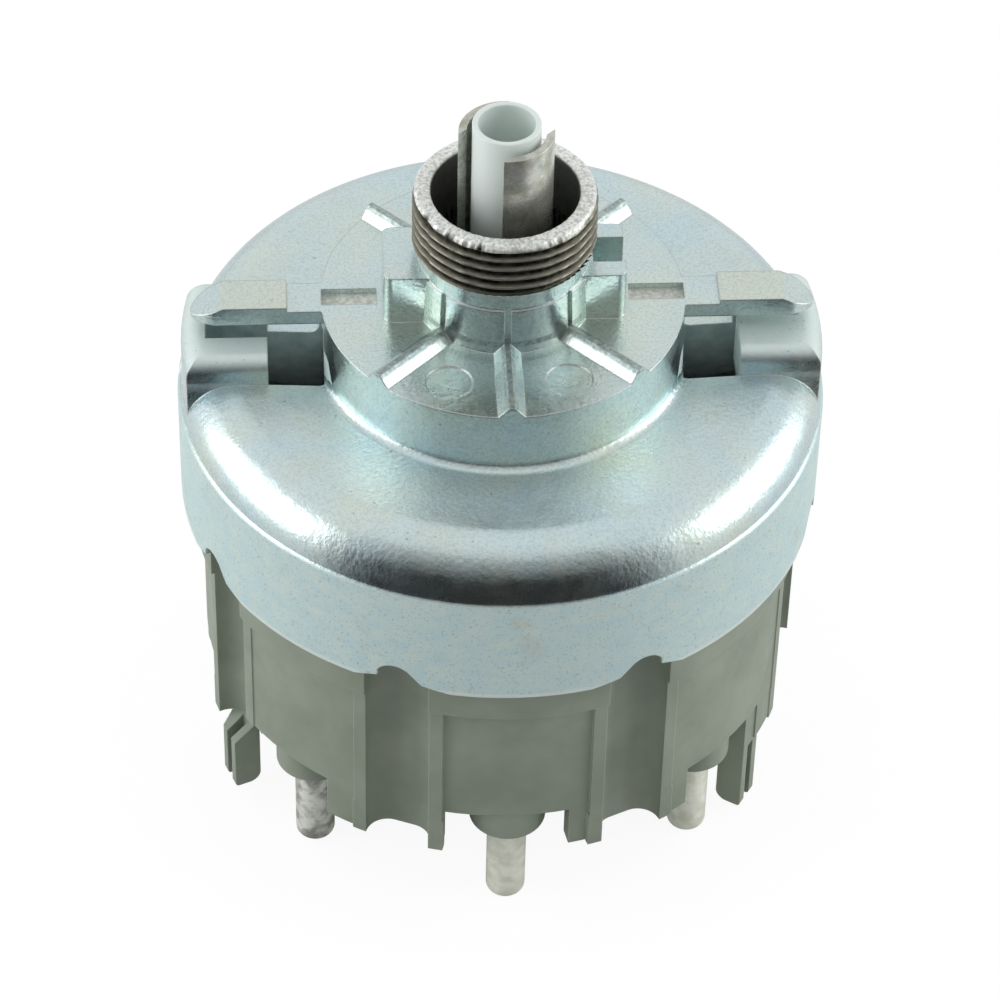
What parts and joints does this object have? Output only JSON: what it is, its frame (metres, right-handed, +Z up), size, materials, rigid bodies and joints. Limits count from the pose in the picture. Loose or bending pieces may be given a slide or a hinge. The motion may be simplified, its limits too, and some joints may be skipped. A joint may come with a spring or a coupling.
{
  "type": "rotary headlight switch",
  "caption": "Rotary headlight switch: cast housing with threaded neck and side arms, split shaft with light tube that turns and pulls, and a fluted plastic base with round contact pins.",
  "frame": {"origin": "on the shaft's axis, at the plane of the contact pins' lower ends, on which the switch stands", "axes": "+Z up along the shaft towards the knob's end; -Y is the front in the picture; +X is the right-hand mounting arm, seen from the front"},
  "size_m": [0.0574, 0.0574, 0.0706],
  "materials": {
    "cast_zinc": "satin, clear blue passivated",
    "base_plastic": "matt grey moulding",
    "plated_pin": "silvery plating over brass, slightly tarnished",
    "contact_brass": "plain",
    "contact_bronze": "plain spring bronze",
    "shaft_steel": "bright drawn tube",
    "white_plastic": "translucent white moulding",
    "inner_plastic": "matt black moulding",
    "plain_steel": "plain"
  },
  "bodies": {
    "housing": {"housing": "cast_zinc", "contact_base": "base_plastic", "contact_pin_1": "plated_pin", "contact_pin_2": "plated_pin", "contact_pin_3": "plated_pin", "contact_pin_4": "plated_pin", "contact_pin_5": "plated_pin", "contact_pin_6": "plated_pin", "contact_pin_7": "plated_pin", "contact_pin_8": "plated_pin", "contact_strip_1": "contact_brass", "contact_strip_2": "contact_brass", "contact_strip_3": "contact_brass", "contact_strip_4": "contact_brass", "contact_strip_5": "contact_brass", "contact_strip_6": "contact_brass", "contact_strip_7": "contact_brass", "contact_strip_8": "contact_brass", "fixed_blade_1": "contact_bronze", "fixed_blade_2": "contact_bronze", "thrust_washer": "plain_steel", "detent_ring": "plain_steel"},
    "rotor": {"rotor": "inner_plastic", "contact_carrier": "inner_plastic", "carrier_clip": "plain_steel", "contact_bridge_1": "contact_bronze", "contact_bridge_2": "contact_bronze", "contact_bridge_3": "contact_bronze", "bridge_rivet_1": "contact_brass", "bridge_rivet_2": "contact_brass", "bridge_rivet_3": "contact_brass", "detent_ball_1": "plain_steel", "detent_ball_2": "plain_steel", "detent_leaf_spring": "plain_steel"},
    "pull_shaft": {"shaft": "shaft_steel", "light_tube": "white_plastic", "drive_pin": "plain_steel", "plunger": "inner_plastic", "plunger_ring": "contact_bronze"}
  },
  "joints": [
    {"name": "shaft_turn", "type": "hinge", "parent": "housing", "child": "rotor", "pos_m": [0, 0, 0.04], "axis": [0, 0, 1], "range_deg": [-60, 60]},
    {"name": "shaft_pull", "type": "slide", "parent": "rotor", "child": "pull_shaft", "axis": [0, 0, 1], "range_m": [0, 0.006]}
  ]
}
